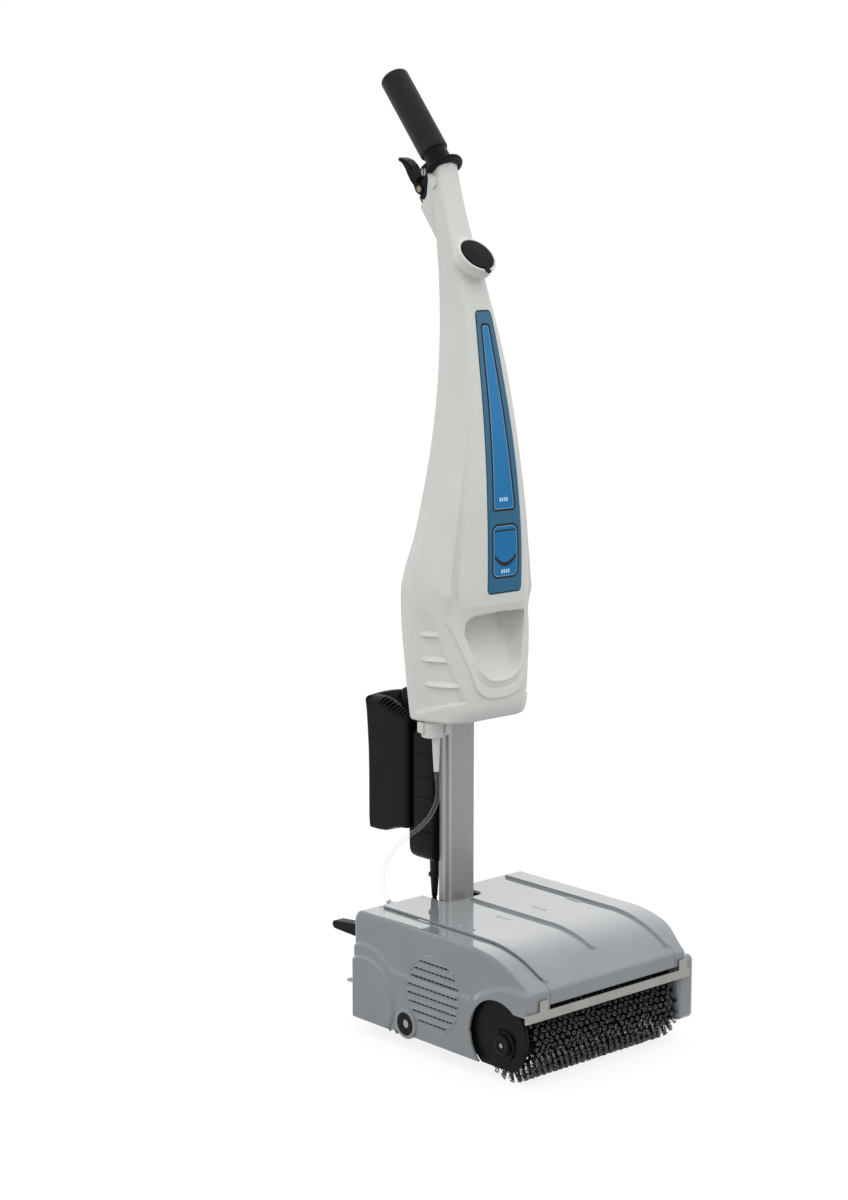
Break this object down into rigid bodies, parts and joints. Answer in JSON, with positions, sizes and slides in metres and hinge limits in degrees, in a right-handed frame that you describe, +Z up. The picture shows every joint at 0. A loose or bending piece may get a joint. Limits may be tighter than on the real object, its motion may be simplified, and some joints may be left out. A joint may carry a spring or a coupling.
{
  "type": "floor scrubber",
  "caption": "Upright battery floor scrubber: a low head with counter-turning cylinder brushes, and a tilting handle that is also the water tank, with a trigger grip and a lift-off battery.",
  "frame": {"origin": "on the floor, under the middle of the part's bounding box", "axes": "+Z up, -Y towards the front, +X towards the left hand of the user, who stands behind"},
  "size_m": [0.2845, 0.3911, 1.154],
  "materials": {
    "casing_grey": "gloss",
    "tank_white": "satin",
    "panel_blue": "gloss",
    "black_plastic": "satin",
    "black_rubber": "matte",
    "clear_hose": "clear",
    "column_aluminium": "satin anodised",
    "bright_steel": "brushed",
    "frame_paint": "satin",
    "motor_steel": "satin",
    "pulley_aluminium": "turned",
    "bearing_brass": "turned",
    "bristle_nylon": "matte",
    "brush_plastic": "matte"
  },
  "bodies": {
    "head": {"chassis": "frame_paint", "left_side_cover": "casing_grey", "right_side_cover": "casing_grey", "hood": "casing_grey", "left_louvre": "casing_grey", "right_louvre": "casing_grey", "front_guard_bar": "bright_steel", "rear_splash_plate": "bright_steel", "front_end_plate": "black_plastic", "rear_end_plate": "black_plastic", "front_bearings": "bearing_brass", "rear_bearings": "bearing_brass", "front_belt": "black_rubber", "rear_belt": "black_rubber", "front_motor": "motor_steel", "rear_motor": "motor_steel", "control_box": "black_plastic", "spray_bar": "clear_hose", "hose_inlet": "black_plastic", "axle_bushes": "black_plastic", "pedal_pin": "bright_steel", "pivot_pin": "bright_steel"},
    "front_hub": {"front_hub_cap": "black_plastic"},
    "rear_hub": {"rear_hub_cap": "black_plastic"},
    "front_brush": {"front_brush_core": "brush_plastic", "front_bristles": "bristle_nylon", "front_brush_pulley": "pulley_aluminium"},
    "rear_brush": {"rear_brush_core": "brush_plastic", "rear_bristles": "bristle_nylon", "rear_brush_pulley": "pulley_aluminium"},
    "front_drive": {"front_rotor": "bright_steel"},
    "rear_drive": {"rear_rotor": "bright_steel"},
    "carriage": {"axle_shaft": "bright_steel", "wheel_arms": "bright_steel", "wheel_axle": "bright_steel"},
    "left_roller": {"left_wheel": "black_rubber"},
    "right_roller": {"right_wheel": "black_rubber"},
    "pedal": {"foot_pedal": "black_plastic"},
    "handle": {"column_foot": "black_plastic", "column": "column_aluminium", "column_screws": "bright_steel", "tank_shell": "tank_white", "tank_panel": "panel_blue", "grip_core": "column_aluminium", "grip": "black_rubber", "lever_bracket": "black_plastic", "lever_pin": "bright_steel", "valve_cable": "bright_steel", "valve_body": "tank_white", "valve_nozzle": "tank_white", "battery_dock": "black_plastic", "strain_relief": "black_rubber", "battery_cable": "black_rubber", "supply_hose": "clear_hose"},
    "trigger": {"trigger_lever": "black_plastic", "cable_barrel": "bright_steel"},
    "plunger": {"valve_plunger": "black_plastic"},
    "cap": {"filler_cap": "black_plastic"},
    "battery": {"battery_pack": "black_plastic"},
    "latch": {"battery_latch": "black_plastic"}
  },
  "joints": [
    {"name": "handle_tilt", "type": "hinge", "parent": "head", "child": "handle", "pos_m": [-0.0095, 0.073, 0.116], "axis": [-1, 0, 0], "range_deg": [0, 55], "deforming": ["supply_hose", "battery_cable"]},
    {"name": "front_brush_spin", "type": "hinge", "parent": "head", "child": "front_brush", "pos_m": [0, -0.148, 0.0455], "axis": [1, 0, 0], "continuous": true},
    {"name": "rear_brush_spin", "type": "hinge", "parent": "head", "child": "rear_brush", "pos_m": [0, 0.066, 0.0455], "axis": [1, 0, 0], "continuous": true},
    {"name": "front_rotor_spin", "type": "hinge", "parent": "head", "child": "front_drive", "pos_m": [0, -0.041, 0.078], "axis": [1, 0, 0], "continuous": true},
    {"name": "rear_rotor_spin", "type": "hinge", "parent": "head", "child": "rear_drive", "pos_m": [0, -0.041, 0.078], "axis": [1, 0, 0], "continuous": true},
    {"name": "carriage_swing", "type": "hinge", "parent": "head", "child": "carriage", "pos_m": [0, 0.0132, 0.031], "axis": [1, 0, 0], "range_deg": [0, 18], "stiffness_Nm_per_rad": 1.5, "springref_deg": -17.19},
    {"name": "pedal_press", "type": "hinge", "parent": "head", "child": "pedal", "pos_m": [-0.117, 0.098, 0.119], "axis": [-1, 0, 0], "range_deg": [0, 12]},
    {"name": "left_wheel_roll", "type": "hinge", "parent": "carriage", "child": "left_roller", "pos_m": [-0.071, -0.038, 0.026], "axis": [1, 0, 0], "continuous": true},
    {"name": "right_wheel_roll", "type": "hinge", "parent": "carriage", "child": "right_roller", "pos_m": [0.071, -0.038, 0.026], "axis": [1, 0, 0], "continuous": true},
    {"name": "trigger_squeeze", "type": "hinge", "parent": "handle", "child": "trigger", "pos_m": [-0.0095, 0.1262, 1.0301], "axis": [1, 0, 0], "range_deg": [0, 25], "stiffness_Nm_per_rad": 0.3, "springref_deg": -17.19},
    {"name": "valve_lift", "type": "slide", "parent": "handle", "child": "plunger", "axis": [0, 0, 1], "range_m": [0, 0.006]},
    {"name": "cap_pull", "type": "slide", "parent": "handle", "child": "cap", "axis": [0, -0.7314, 0.682], "range_m": [0, 0.03]},
    {"name": "battery_lift", "type": "slide", "parent": "handle", "child": "battery", "axis": [0, 0, 1], "range_m": [0, 0.15]},
    {"name": "latch_press", "type": "slide", "parent": "battery", "child": "latch", "axis": [0, 0, -1], "range_m": [0, 0.004], "stiffness_N_per_m": 300, "springref_m": -0.002},
    {"name": "front_hub_turn", "type": "hinge", "parent": "head", "child": "front_hub", "pos_m": [-0.132, -0.148, 0.0455], "axis": [1, 0, 0], "range_deg": [0, 30]},
    {"name": "rear_hub_turn", "type": "hinge", "parent": "head", "child": "rear_hub", "pos_m": [0.132, 0.066, 0.0455], "axis": [1, 0, 0], "range_deg": [0, 30]}
  ],
  "couplings": [
    {"joint": "rear_brush_spin", "follows": "front_brush_spin", "ratio": -1},
    {"joint": "front_rotor_spin", "follows": "front_brush_spin", "ratio": 2.5455},
    {"joint": "rear_rotor_spin", "follows": "front_brush_spin", "ratio": -2.5455},
    {"joint": "pedal_press", "follows": "carriage_swing", "ratio": 0.6666},
    {"joint": "valve_lift", "follows": "trigger_squeeze", "m_per_rad": 0.01375}
  ]
}
